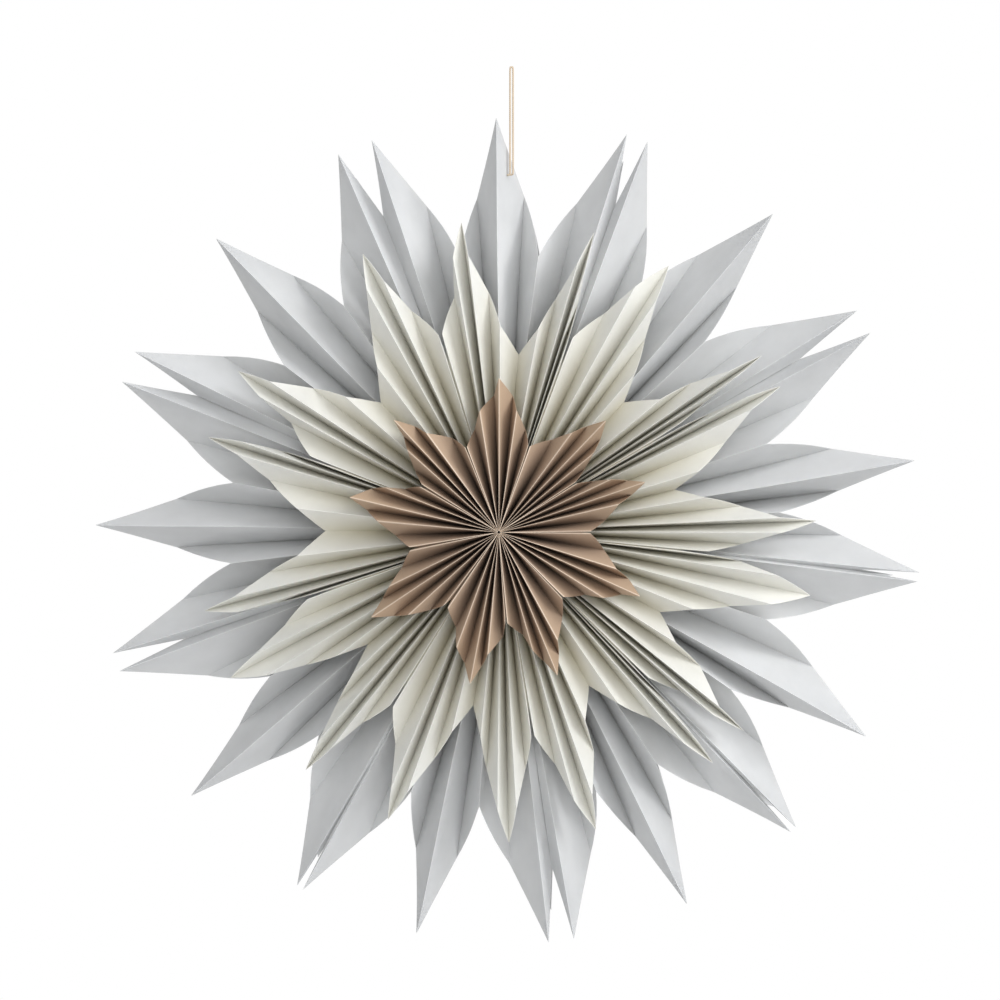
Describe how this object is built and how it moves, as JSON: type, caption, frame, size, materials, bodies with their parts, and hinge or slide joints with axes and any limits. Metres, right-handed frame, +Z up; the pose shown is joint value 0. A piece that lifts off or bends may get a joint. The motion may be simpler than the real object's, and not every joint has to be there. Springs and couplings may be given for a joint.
{
  "type": "hanging paper star",
  "caption": "Hanging paper snowflake star of accordion-folded sheets in stacked rings: a small brown ring, an ivory ring and two white rings, on a loop of string.",
  "frame": {"origin": "in the eye of the string loop that the star hangs from", "axes": "+Z up along the string, the face of the star looks along -Y, +X to the right seen from the front"},
  "size_m": [0.5995, 0.1321, 0.6402],
  "materials": {
    "brown_paper": "matt kraft",
    "ivory_paper": "matt",
    "white_paper": "matt",
    "string": "twisted thread"
  },
  "bodies": {
    "string_loop": {"hanging_cord": "string"},
    "knot": {"stopper_knot": "string"},
    "star": {"brown_sheet_1": "brown_paper", "brown_sheet_2": "brown_paper", "brown_sheet_3": "brown_paper", "brown_sheet_4": "brown_paper", "brown_sheet_5": "brown_paper", "brown_sheet_6": "brown_paper", "brown_sheet_7": "brown_paper", "brown_sheet_8": "brown_paper", "brown_sheet_9": "brown_paper", "ivory_sheet_1": "ivory_paper", "ivory_sheet_2": "ivory_paper", "ivory_sheet_3": "ivory_paper", "ivory_sheet_4": "ivory_paper", "ivory_sheet_5": "ivory_paper", "ivory_sheet_6": "ivory_paper", "ivory_sheet_7": "ivory_paper", "ivory_sheet_8": "ivory_paper", "ivory_sheet_9": "ivory_paper", "white_front_sheet_1": "white_paper", "white_front_sheet_2": "white_paper", "white_front_sheet_3": "white_paper", "white_front_sheet_4": "white_paper", "white_front_sheet_5": "white_paper", "white_front_sheet_6": "white_paper", "white_front_sheet_7": "white_paper", "white_front_sheet_8": "white_paper", "white_front_sheet_9": "white_paper", "white_rear_sheet_1": "white_paper", "white_rear_sheet_2": "white_paper", "white_rear_sheet_3": "white_paper", "white_rear_sheet_4": "white_paper", "white_rear_sheet_5": "white_paper", "white_rear_sheet_6": "white_paper", "white_rear_sheet_7": "white_paper", "white_rear_sheet_8": "white_paper", "white_rear_sheet_9": "white_paper"}
  },
  "joints": [
    {"name": "string_twist", "type": "hinge", "parent": "string_loop", "child": "knot", "pos_m": [0, 0, -0.078], "axis": [0, 0, 1], "continuous": true},
    {"name": "petal_tilt", "type": "hinge", "parent": "knot", "child": "star", "pos_m": [-0.00347, 0.00198, -0.078], "axis": [1, 0, 0], "range_deg": [-25, 8]}
  ]
}
